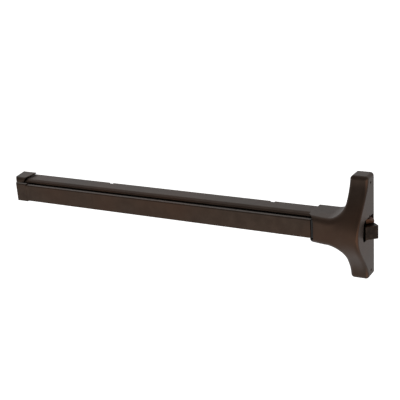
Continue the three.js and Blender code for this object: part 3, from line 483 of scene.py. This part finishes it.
def finish_piece(name, shape, material, slot, *nodes, wall=0, edge=0.3, segments=2, crisp=None):
    """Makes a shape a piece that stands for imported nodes. A sheet gets its wall, and each sharp
    edge a small round, but for the crisp ones. Nothing reaches past the door."""
    bmesh.ops.remove_doubles(shape, verts=shape.verts, dist=0.002 * mm)
    bmesh.ops.recalc_face_normals(shape, faces=shape.faces[:])
    if wall:
        walled(shape, wall)
    sharp = [e for e in shape.edges if len(e.link_faces) == 2 and e.calc_face_angle() > SHARP]
    if crisp:
        sharp = [e for e in sharp if not all(crisp(v.co / mm) for v in e.verts)]
    if edge:
        bmesh.ops.bevel(
            shape,
            geom=sharp,
            offset=edge * mm,
            affect="EDGES",
            segments=segments,
            profile=0.5,
            material=-1,
            clamp_overlap=False,
        )
    for vert in shape.verts:
        vert.co.y = min(vert.co.y, 0)
    mesh = bpy.data.meshes.new(name)
    shape.to_mesh(mesh)
    shape.free()
    mesh.shade_smooth()
    mesh.set_sharp_from_angle(angle=SHARP)
    mesh.materials.append(material)
    piece = bpy.data.objects.new(name, mesh)
    bpy.context.scene.collection.objects.link(piece)
    level = piece.modifiers.new("even shading", "WEIGHTED_NORMAL")
    level.keep_sharp = True
    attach(piece, BODY_OF[nodes[0]])
    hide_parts(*nodes)
    boxes = [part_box(node) for node in nodes]
    room = []
    for k in range(3):
        along = [vert.co[k] for vert in mesh.vertices]
        room.append(min(along) - min(low[k] for low, high in boxes))
        room.append(max(high[k] for low, high in boxes) - max(along))
    print(f"{name}: {len(mesh.polygons)} faces, {min(room) / mm:.2f} mm of room in its packed box")
    return piece


def door_side(p):
    return p.y > -0.05

# %% [markdown]
# ## Latch case cover
# The cover is one bronze shell: two arms over the chassis, and a neck that takes in the rail, with
# a flare between them. Its front is a curved surface, highest at mid height on the latch side. It
# could be sculpted, but the shape follows rules that a toolmaker would write down, so two flat
# grids are shaped to its outline and each vertex is pressed out by those rules. The rounded edge
# is part of the rule: near the outline the front falls away in an arc. Then the rim is pulled
# back to the door, the window and screw holes are cut, and the sheet gets its wall.

# %% Sizes of the cover
CASE_LEFT, CASE_RIGHT = -17.5, span("case_cover", "X")[1]
MOUTH = span("case_cover", "X")[0]
CASE_TOP = span("case_cover", "Z")[1]
CASE_DEPTH = -span("case_cover", "Y")[0]
RAIL_TOP = span("rail", "Z")[1]
NECK_TOP = RAIL_TOP + 4
NECK_DEPTH = -span("push_pad", "Y")[0] + 7
LIP = MOUTH + 15
LIP_START = 52
ARM_DEPTH = 35
ARM_EDGE = 8
ARM_CORNER = 6.5
NECK_EDGE = 13
FLARE = 33
FLARE_X, FLARE_Z = CASE_LEFT - FLARE, NECK_TOP + FLARE
SHEET = 2.3


def arc_drop(distance, radius):
    """How far a rounded edge has fallen away at a distance inside it."""
    if distance >= radius:
        return 0
    return radius - math.sqrt(max(0, radius * radius - (radius - distance) ** 2))


def front_depth(x, z):
    """How far out the cover's front lies before its edges are rounded."""
    neck = NECK_DEPTH + (CASE_DEPTH - NECK_DEPTH) * (x - LIP) / (CASE_RIGHT - ARM_EDGE - LIP)
    wave = (1 + math.cos(math.pi * z / CASE_TOP)) / 2
    t = (x - CASE_LEFT + 1.3 * FLARE) / (1.3 * FLARE)
    t = min(1, max(0, t))
    arm = t * t * (3 - 2 * t)
    return ARM_DEPTH + (neck - ARM_DEPTH) * (1 - arm * (1 - wave))


def cover_depth(x, z):
    up = abs(z)
    dx, dz = x - FLARE_X, FLARE_Z - up
    side, edge = x - CASE_LEFT, ARM_EDGE
    if dx < 0:
        side, edge = NECK_TOP - up, NECK_EDGE
    elif dz > 0:
        turn = math.atan2(dx, dz) / (math.pi / 2)
        side, edge = math.hypot(dx, dz) - FLARE, NECK_EDGE + (ARM_EDGE - NECK_EDGE) * turn
    drops = [
        arc_drop(side, edge),
        arc_drop(CASE_RIGHT - x, ARM_EDGE),
        arc_drop(CASE_TOP - up, ARM_EDGE),
    ]
    tip_x, tip_z = abs(x) - CASE_RIGHT + ARM_CORNER, up - CASE_TOP + ARM_CORNER
    if tip_x > 0 and tip_z > 0:
        drops.append(arc_drop(ARM_CORNER - math.hypot(tip_x, tip_z), ARM_EDGE))
    return front_depth(x, z) - max(drops)


# %% The cover's front
def eased(count, start=True, end=True):
    """Shares from 0 to 1, closer together at the ends that are asked for."""
    t = [i / count for i in range(count + 1)]
    if start and end:
        return [(1 - math.cos(math.pi * s)) / 2 for s in t]
    if end:
        return [math.sin(math.pi * s / 2) for s in t]
    return [1 - math.cos(math.pi * s / 2) for s in t] if start else t


def stretch(a, b, shares):
    return [a + (b - a) * s for s in shares]


def arm_side(z):
    """Where a row of the arms begins on the left at height z."""
    up = abs(z)
    if up <= NECK_TOP:
        return FLARE_X
    if up < FLARE_Z:
        return FLARE_X + math.sqrt(FLARE**2 - (FLARE_Z - up) ** 2)
    return CASE_LEFT + corner_set(up)


def corner_set(up):
    over = min(ARM_CORNER, max(0, up - CASE_TOP + ARM_CORNER))
    return ARM_CORNER - math.sqrt(ARM_CORNER**2 - over**2)


def pressed_grid(shape, columns_at, rows):
    """A flat grid with one row of vertices per height, each row spread over its own columns."""
    across = len(columns_at(rows[0]))
    made = bmesh.ops.create_grid(shape, x_segments=across - 1, y_segments=len(rows) - 1, size=1)
    for index, vert in enumerate(made["verts"]):
        row, column = divmod(index, across)
        z = rows[row]
        x = columns_at(z)[column]
        vert.co = Vector((x, -cover_depth(x, z), z)) * mm


NECK_ROWS = stretch(0, NECK_TOP - NECK_EDGE, eased(5, False, False))[:-1]
NECK_ROWS += stretch(NECK_TOP - NECK_EDGE, NECK_TOP, eased(12, False))
ARM_ROWS = NECK_ROWS[:-1] + stretch(NECK_TOP, FLARE_Z, eased(26, True, False))[:-1]
ARM_ROWS += stretch(FLARE_Z, CASE_TOP - ARM_EDGE, eased(8, False, False))[:-1]
ARM_ROWS += stretch(CASE_TOP - ARM_EDGE, CASE_TOP, eased(12, False))
ARM_SHARES = eased(36)
NECK_COLUMNS = stretch(MOUTH, FLARE_X, eased(14, False, False))


def both_ways(rows):
    return [-z for z in rows[:0:-1]] + rows


def arm_columns(z):
    return stretch(arm_side(z), CASE_RIGHT - corner_set(abs(z)), ARM_SHARES)


cover = bmesh.new()
pressed_grid(cover, arm_columns, both_ways(ARM_ROWS))
pressed_grid(cover, lambda z: NECK_COLUMNS, both_ways(NECK_ROWS))
bmesh.ops.remove_doubles(cover, verts=cover.verts, dist=0.01 * mm)
crest = min(vert.co.y for vert in cover.verts)
bmesh.ops.scale(cover, verts=cover.verts, vec=(1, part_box("case_cover")[0].y / crest, 1))
print("the cover's front has", len(cover.faces), "faces")

# %% The cover's sides
rim = [edge for edge in cover.edges if edge.is_boundary]
rim = [e for e in rim if any(v.co.x / mm > MOUTH + 0.01 for v in e.verts)]
pulled = bmesh.ops.extrude_edge_only(cover, edges=rim)["geom"]
for vert in pulled:
    if isinstance(vert, bmesh.types.BMVert):
        vert.co.y = 0
bmesh.ops.remove_doubles(cover, verts=cover.verts, dist=0.01 * mm)
bmesh.ops.recalc_face_normals(cover, faces=cover.faces[:])

# %% The cover's mouth, window and screw holes
lean = Vector((NECK_DEPTH - LIP_START, LIP - MOUTH, 0)).normalized()
slice_at(cover, (MOUTH, -LIP_START, 0), -lean, clear=True)

WINDOW = [
    (-4, -17, 3),
    (-4, 22.6, 5),
    (-20.5, 22.6),
    (-23.5, 25.6),
    (-26.5, 22.6),
    (-56, 22.6, 10),
    (-62, -17, 8),
]
SCREW_Y = middle("cover_screw_upper", "Y")
SCREW_Z = middle("cover_screw_upper", "Z")
window = outline_face(WINDOW)
place = Matrix.Translation((CASE_RIGHT * mm, 0, 0)) @ TURN["X"]
bmesh.ops.transform(window, matrix=place, verts=window.verts)
holes = [round_hole((CASE_RIGHT, SCREW_Y, z), "X", 2.5) for z in (-SCREW_Z, SCREW_Z)]
in_order(cover)
latch_side = chosen(cover, "faces", lambda p: p.x > CASE_RIGHT - 0.01)
pierce(cover, latch_side, [window] + holes)
finish_piece(
    "fine_case_cover",
    cover,
    case_bronze,
    "dark_bronze",
    "case_cover",
    wall=SHEET,
    edge=0.5,
    segments=3,
    crisp=door_side,
)

# %% [markdown]
# ## Rail
# The rail is one extrusion, a square tube with a slot along its front for the pad's carrier. Its
# top falls away over the front edge in two gentle bends. It is drawn as an outline, pulled along
# the bar, and given its wall. Two notches at the back edge take the crank brackets' tabs, and the
# web on the door has a hole for each screw.

# %% Rail
RAIL_FRONT = -span("rail", "Y")[0]
RAIL_ENDS = span("rail", "X")
SLOT_HALF = 15
STATIONS = [middle("crank_bracket_latch", "X"), middle("crank_bracket_far", "X")]
RAIL_PROFILE = [
    (0, RAIL_TOP),
    (9 - RAIL_FRONT, RAIL_TOP, 12),
    (-RAIL_FRONT, RAIL_TOP - 3, 4),
    (-RAIL_FRONT, SLOT_HALF),
]
rail = sleeve(
    mirrored(RAIL_PROFILE),
    "X",
    *RAIL_ENDS,
    open_side=lambda p: p.x < 0.1 - RAIL_FRONT and abs(p.y) < SLOT_HALF + 0.1,
)
for x in STATIONS:
    open_window(rail, (x - 4.75, -6, RAIL_TOP - 5), (x + 4.75, 1, RAIL_TOP + 1))
WEB_SCREWS = [n for n in BODY_OF if n.startswith(("rail_screw", "bracket_screw"))]
bmesh.ops.recalc_face_normals(rail, faces=rail.faces[:])
in_order(rail)
web = chosen(rail, "faces", lambda p: p.y > -0.01)
holes = [round_hole((middle(n, "X"), 0, middle(n, "Z")), "Y", 2.2) for n in WEB_SCREWS]
pierce(rail, web, holes)
finish_piece("fine_rail", rail, bronze, "dark_bronze", "rail", wall=2.2, crisp=door_side)

# %% [markdown]
# ## Push pad
# The pad's cover is a shallow bronze channel with a tight bend along its top and bottom edges,
# which is what catches the light as a thin line. It is a sleeve that is open at the back.

# %% Push pad
PAD_TOP = span("push_pad", "Z")[1]
PAD_BACK, PAD_FRONT = -span("push_pad", "Y")[1], -span("push_pad", "Y")[0]
pad = sleeve(
    mirrored([(-PAD_BACK, PAD_TOP), (-PAD_FRONT, PAD_TOP, 2.6)]),
    "X",
    *span("push_pad", "X"),
    open_side=lambda p: p.x > 0.1 - PAD_FRONT and p.x > -PAD_BACK - 0.1,
)
finish_piece("fine_push_pad", pad, bronze, "dark_bronze", "push_pad", wall=2)

# %% [markdown]
# ## End cap
# The cap closes the bar's far end. Its collar takes in the rail, its face carries the pad's shape
# on to the end, and the groove between them runs through it. The outer end leans in over the flat
# side and is cut back towards the front. So a sleeve of the whole outline is cut by two planes,
# the cuts are closed, and the bend between them is rounded.

# %% End cap
CAP_OUT, CAP_IN = span("end_cap", "X")
CAP_TOP = span("end_cap", "Z")[1]
COLLAR_DEPTH = RAIL_FRONT + 3
COLLAR_END = RAIL_ENDS[0] + 20
CAP_PROFILE = [
    (0, CAP_TOP),
    (-COLLAR_DEPTH, CAP_TOP, 9),
    (-COLLAR_DEPTH, SLOT_HALF),
    (-PAD_BACK, SLOT_HALF),
    (-PAD_BACK, PAD_TOP + 2),
    (-PAD_FRONT, PAD_TOP + 2, 3),
]
CAP_PLAN = [(CAP_OUT, 0), (CAP_OUT + 9, 8 - COLLAR_DEPTH), (CAP_OUT + 31.5, -PAD_FRONT)]
cap = sleeve(mirrored(CAP_PROFILE), "X", CAP_OUT - 1, CAP_IN)
slice_at(cap, (COLLAR_END, 0, 0), (1, 0, 0))
past_collar = [
    face
    for face in cap.faces
    if face.calc_center_median().x / mm > COLLAR_END
    and all(v.co.y / mm > -COLLAR_DEPTH - 0.01 for v in face.verts)
]
bmesh.ops.delete(cap, geom=past_collar, context="FACES")
for (x0, y0), (x1, y1) in zip(CAP_PLAN, CAP_PLAN[1:]):
    rim = slice_at(cap, (x0, y0, 0), (y1 - y0, x0 - x1, 0), clear=True)
    bmesh.ops.edgeloop_fill(cap, edges=rim)
bmesh.ops.recalc_face_normals(cap, faces=cap.faces[:])
BEND_X, BEND_Y = CAP_PLAN[1]
bend = chosen(cap, "edges", lambda p: abs(p.x - BEND_X) < 0.01 and abs(p.y - BEND_Y) < 0.01)
bmesh.ops.bevel(
    cap,
    geom=bend,
    offset=2.3 * mm,
    affect="EDGES",
    segments=6,
    profile=0.5,
    material=-1,
)
CAP_SCREWS = ["cap_screw_upper", "cap_screw_lower"]
lean = Vector((CAP_PLAN[1][1], CAP_PLAN[0][0] - CAP_PLAN[1][0], 0)).normalized()
in_order(cap)
outer_end = [face for face in cap.faces if abs(face.normal.dot(lean)) > 0.9999]
holes = []
for node in CAP_SCREWS:
    y = middle(node, "Y")
    hole = bmesh.new()
    bmesh.ops.create_circle(hole, cap_ends=True, segments=24, radius=3.9 * mm)
    spot = Vector((CAP_OUT + 9 * y / CAP_PLAN[1][1], y, middle(node, "Z"))) * mm
    place = Matrix.Translation(spot) @ lean.to_track_quat("Z", "Y").to_matrix().to_4x4()
    bmesh.ops.transform(hole, matrix=place, verts=hole.verts)
    holes.append(hole)
pierce(cap, outer_end, holes)
bmesh.ops.delete(cap, geom=chosen(cap, "faces", lambda p: p.y > -0.01), context="FACES")
finish_piece(
    "fine_end_cap",
    cap,
    bronze,
    "dark_bronze",
    "end_cap",
    wall=2.4,
    edge=0.7,
    segments=3,
    crisp=door_side,
)

# %% [markdown]
# ## Cover screws
# Each arm is held by a socket screw whose end lies just inside its hole. The end is a ring
# between the round shank and the hexagon of the socket, which bridge_loops makes from two loops
# with different counts. The socket and the shank are then pulled in from the ring's two rims.

# %% Cover screws
SCREW_DEPTH = 2.5


def pulled_rim(shape, edges, along, shrink=1.0):
    """Pulls a loop of edges along local Z, draws it in by a share, and returns the new loop."""
    made = bmesh.ops.extrude_edge_only(shape, edges=edges)["geom"]
    verts = [part for part in made if isinstance(part, bmesh.types.BMVert)]
    bmesh.ops.translate(shape, verts=verts, vec=(0, 0, along * mm))
    bmesh.ops.scale(shape, verts=verts, vec=(shrink, shrink, 1))
    ends = set(verts)
    return [e for e in shape.edges if e.verts[0] in ends and e.verts[1] in ends]


def socket_screw(node):
    (x0, x1), (y0, y1) = span(node, "X"), span(node, "Y")
    radius = (y1 - y0) / 2
    shape = bmesh.new()
    bmesh.ops.create_circle(shape, segments=24, radius=0.86 * radius * mm)
    round_rim = shape.edges[:]
    bmesh.ops.create_circle(shape, segments=6, radius=0.55 * radius * mm)
    hexagon = [edge for edge in shape.edges if edge not in round_rim]
    bmesh.ops.bridge_loops(shape, edges=round_rim + hexagon)
    floor = pulled_rim(shape, hexagon, -2)
    bmesh.ops.edgeloop_fill(shape, edges=floor)
    shank = pulled_rim(shape, round_rim, -0.14 * radius, 1 / 0.86)
    shank = pulled_rim(shape, shank, -(x1 - x0 - SCREW_DEPTH - 0.7))
    bmesh.ops.edgeloop_fill(shape, edges=pulled_rim(shape, shank, -0.3, 0.86))
    end = Vector((x1 - SCREW_DEPTH, middle(node, "Y"), middle(node, "Z")))
    place = Matrix.Translation(end * mm)
    bmesh.ops.transform(shape, matrix=place @ TURN["X"], verts=shape.verts)
    finish_piece("fine_" + node, shape, black_oxide, "latch_steel", node, edge=0)


socket_screw("cover_screw_upper")
socket_screw("cover_screw_lower")

# %% [markdown]
# ## Springs
# A spring is a circle of wire spun about its axis while it climbs, so each step of the spin has a
# rise. The two return springs lie between the rail's web and the pad's brackets, and each is given
# a mesh of its own.

# %% Springs
def coil_spring(node, axis, wire, turns):
    low, high = span(node, axis)
    across = [span(node, other) for other in "XYZ" if other != axis]
    coil_radius = min(b - a for a, b in across) / 2 - wire / 2
    steps = 20
    shape = bmesh.new()
    bmesh.ops.create_circle(shape, cap_ends=True, segments=8, radius=wire / 2 * mm)
    stand = Matrix.Translation((coil_radius * mm, 0, 0)) @ Matrix.Rotation(math.pi / 2, 4, "X")
    bmesh.ops.transform(shape, matrix=stand, verts=shape.verts)
    climb = (high - low - wire) / (turns * steps) * mm
    bmesh.ops.spin(
        shape,
        geom=shape.faces[:],
        cent=(0, 0, 0),
        axis=(0, 0, 1),
        dvec=(0, 0, climb),
        angle=2 * math.pi * turns,
        steps=round(turns * steps),
        use_merge=False,
    )
    centre = [middle(node, a) for a in "XYZ"]
    centre["XYZ".index(axis)] = low + wire / 2
    place = Matrix.Translation(Vector(centre) * mm) @ TURN[axis]
    bmesh.ops.transform(shape, matrix=place, verts=shape.verts)
    return finish_piece("fine_" + node, shape, spring_wire, "spring_steel", node, edge=0)


coil_spring("latch_spring", "Z", 1, 3.5)
coil_spring("deadlatch_spring", "Z", 1, 2.0)
for node in ("return_spring_latch", "return_spring_far"):
    spring = coil_spring(node, "Y", 1.1, 7)
    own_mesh(spring)

# %% [markdown]
# ## Latch, linkage and brackets
# The pieces inside are plates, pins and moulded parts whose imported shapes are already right, down
# to their bores and slots. A copy of each is merged, its flats are made whole again, and every
# sharp edge gets the small round that stamping, turning or moulding leaves.

# %% Refined pieces
def merged_copy(node):
    shape = bmesh.new()
    shape.from_mesh(frame["nodes"][node].data)
    bmesh.ops.remove_doubles(shape, verts=shape.verts, dist=0.002 * mm)
    bmesh.ops.dissolve_limit(
        shape, angle_limit=math.radians(0.5), verts=shape.verts, edges=shape.edges
    )
    return shape


def refined(node, material, slot, edge=0.25):
    return finish_piece("fine_" + node, merged_copy(node), material, slot, node, edge=edge)


refined("latch_bolt", latch_metal, "latch_steel", 0.35)

# %% Deadlatch
# The deadlatch's nose is ground down at the top, so that it rides up on the strike.
lever = merged_copy("deadlatch")
nose_x, top_z = span("deadlatch", "X")[1], span("deadlatch", "Z")[1]
ground = slice_at(lever, (nose_x - 9, 0, top_z), (0.55, 0, 0.84), clear=True)
bmesh.ops.edgeloop_fill(lever, edges=ground)
finish_piece(
    "fine_deadlatch",
    lever,
    deadlatch_metal,
    "deadlatch_bronze",
    "deadlatch",
    edge=0.6,
    segments=3,
)

# %% The other pieces
for node in BODY_OF:
    if frame["nodes"][node].hide_render:
        continue
    if node.startswith(("pad_carrier", "pad_plug", "pad_bracket")):
        refined(node, black_nylon, "black_plastic", 0.4)
    else:
        refined(node, zinc, "zinc_steel", 0.25)

# %% [markdown]
# ## Floor and light
# The bar hangs over a plain pale floor in a white studio. A dark metal looks like what it
# mirrors, so the studio's own brightness is what shapes it: the white room is brightest in front
# and below, where the front faces look, dimmer behind, and dim high up. A few weak soft boxes add
# the sheen along the edges. The floor is kept out of the metal's mirror, since on a door there is
# none near it, and it glows a little so that it stays an even white.

# %% Floor
FLOOR_DROP = 260 * mm
FLOOR_SIZE = 60
FLOOR_GLOW = 0.8


def pale_floor():
    tree = new_tree("pale_floor")
    speck = cloud(tree, 4 * mm)
    colour = blend_colours(tree, speck, srgb("#f6f6f5"), srgb("#fbfbfa"))
    glow = {"Emission Color": srgb("#ffffff"), "Emission Strength": FLOOR_GLOW}
    material = finish_material("pale_floor", {"Base Color": colour, "Roughness": 0.9, **glow})
    shape = bmesh.new()
    bmesh.ops.create_grid(shape, x_segments=4, y_segments=4, size=FLOOR_SIZE / 2)
    bmesh.ops.translate(shape, verts=shape.verts, vec=(0, 0, cad_box[0].z - FLOOR_DROP))
    mesh = bpy.data.meshes.new("floor")
    shape.to_mesh(mesh)
    shape.free()
    mesh.materials.append(material)
    floor = bpy.data.objects.new("floor", mesh)
    bpy.context.scene.collection.objects.link(floor)
    floor.visible_glossy = False
    floor.visible_diffuse = False


pale_floor()

# %% Studio room
ROOM_BELOW, ROOM_ABOVE, ROOM_BEHIND = 0.82, 0.34, 0.64


def white_room():
    world = bpy.data.worlds.new("studio")
    world.use_nodes = True
    tree = world.node_tree
    direction = add_node(tree, "ShaderNodeTexCoord").outputs["Generated"]
    _, depth, height = add_node(tree, "ShaderNodeSeparateXYZ", {0: direction}).outputs
    front = remap(tree, height, 0.0, 0.6, ROOM_BELOW, ROOM_ABOVE)
    share = remap(tree, depth, -0.1, 0.6, 0, 1)
    strength = add_node(tree, "ShaderNodeMix", {0: share, 2: front, 3: ROOM_BEHIND}).outputs[0]
    seen = add_node(tree, "ShaderNodeLightPath").outputs["Is Camera Ray"]
    strength = add_node(tree, "ShaderNodeMix", {0: seen, 2: strength, 3: 1.0}).outputs[0]
    background = tree.nodes["Background"]
    background.inputs["Color"].default_value = srgb("#ffffff")
    tree.links.new(strength, background.inputs["Strength"])
    bpy.context.scene.world = world


white_room()

# %% Soft boxes
CENTRE = (cad_box[0] + cad_box[1]) / 2


def soft_box(name, direction, distance, size, glow, colour="#ffffff"):
    """A soft light that looks at the bar from a direction, as bright as a glow in the room."""
    light = bpy.data.lights.new(name, "AREA")
    light.shape = "RECTANGLE"
    light.size, light.size_y = size
    light.energy = glow * math.pi * size[0] * size[1]
    light.color = srgb(colour)[:3]
    lamp = bpy.data.objects.new(name, light)
    lamp.location = CENTRE + distance * Vector(direction).normalized()
    lamp.rotation_mode = "QUATERNION"
    lamp.rotation_quaternion = Vector(direction).to_track_quat("Z", "Y")
    lamp.visible_camera = False
    bpy.context.scene.collection.objects.link(lamp)


soft_box("front_low", (-0.1, -0.9, -0.33), 2.5, (1.6, 1.0), 0.15, "#ffe9d8")
soft_box("edge_strip", (0.5, -0.78, -0.38), 2.5, (0.25, 1.0), 7.5, "#ffdcc4")

bpy.context.scene.view_settings.view_transform = "Standard"
